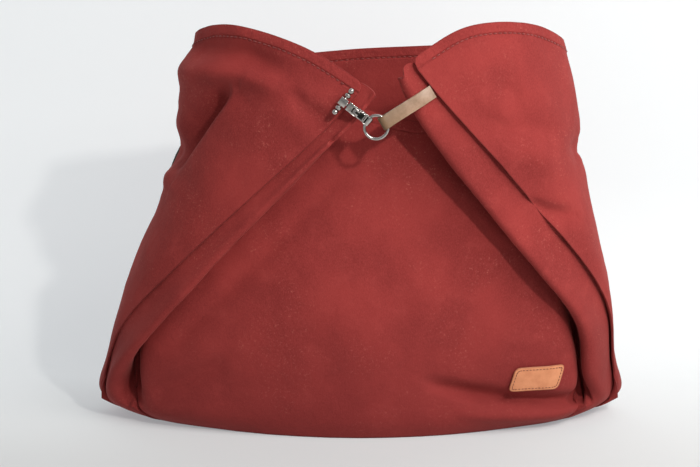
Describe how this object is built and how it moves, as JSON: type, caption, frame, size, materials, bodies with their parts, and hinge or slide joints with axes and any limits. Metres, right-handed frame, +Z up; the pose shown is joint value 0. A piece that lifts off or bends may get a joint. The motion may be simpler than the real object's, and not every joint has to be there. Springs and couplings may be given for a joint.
{
  "type": "leather bag",
  "caption": "Soft leather bag standing on its base, its two upper corners folded to the front and held by a snap hook, a ring and a leather tab.",
  "frame": {"origin": "on the surface that the bag stands on, under the middle of its base panel", "axes": "+X to the right as the front is seen, +Y to the back, +Z up"},
  "size_m": [0.4599, 0.1995, 0.3442],
  "materials": {
    "red_leather": "matte nubuck",
    "tan_leather": "smooth",
    "patch_leather": "smooth",
    "strap_leather": "smooth",
    "nickel": "polished"
  },
  "bodies": {
    "bag": {"front_panel": "red_leather", "back_panel": "red_leather", "left_gusset": "red_leather", "right_gusset": "red_leather", "base_panel": "red_leather", "front_patch": "patch_leather", "hook_shackle": "nickel", "shackle_pin": "nickel", "hook_swivel": "nickel", "hook_body": "nickel", "gate_pin": "nickel", "tab_ring": "nickel", "ring_tab": "tan_leather", "shoulder_strap": "strap_leather", "strap_rivet_left": "nickel", "strap_rivet_right": "nickel"},
    "gate": {"hook_gate": "nickel"}
  },
  "joints": [
    {"name": "gate_hinge", "type": "hinge", "parent": "bag", "child": "gate", "pos_m": [-0.00491, -0.1066, 0.27786], "axis": [0.6157, 0, 0.788], "range_deg": [0, 20], "stiffness_Nm_per_rad": 0.002, "springref_deg": -34.38}
  ]
}
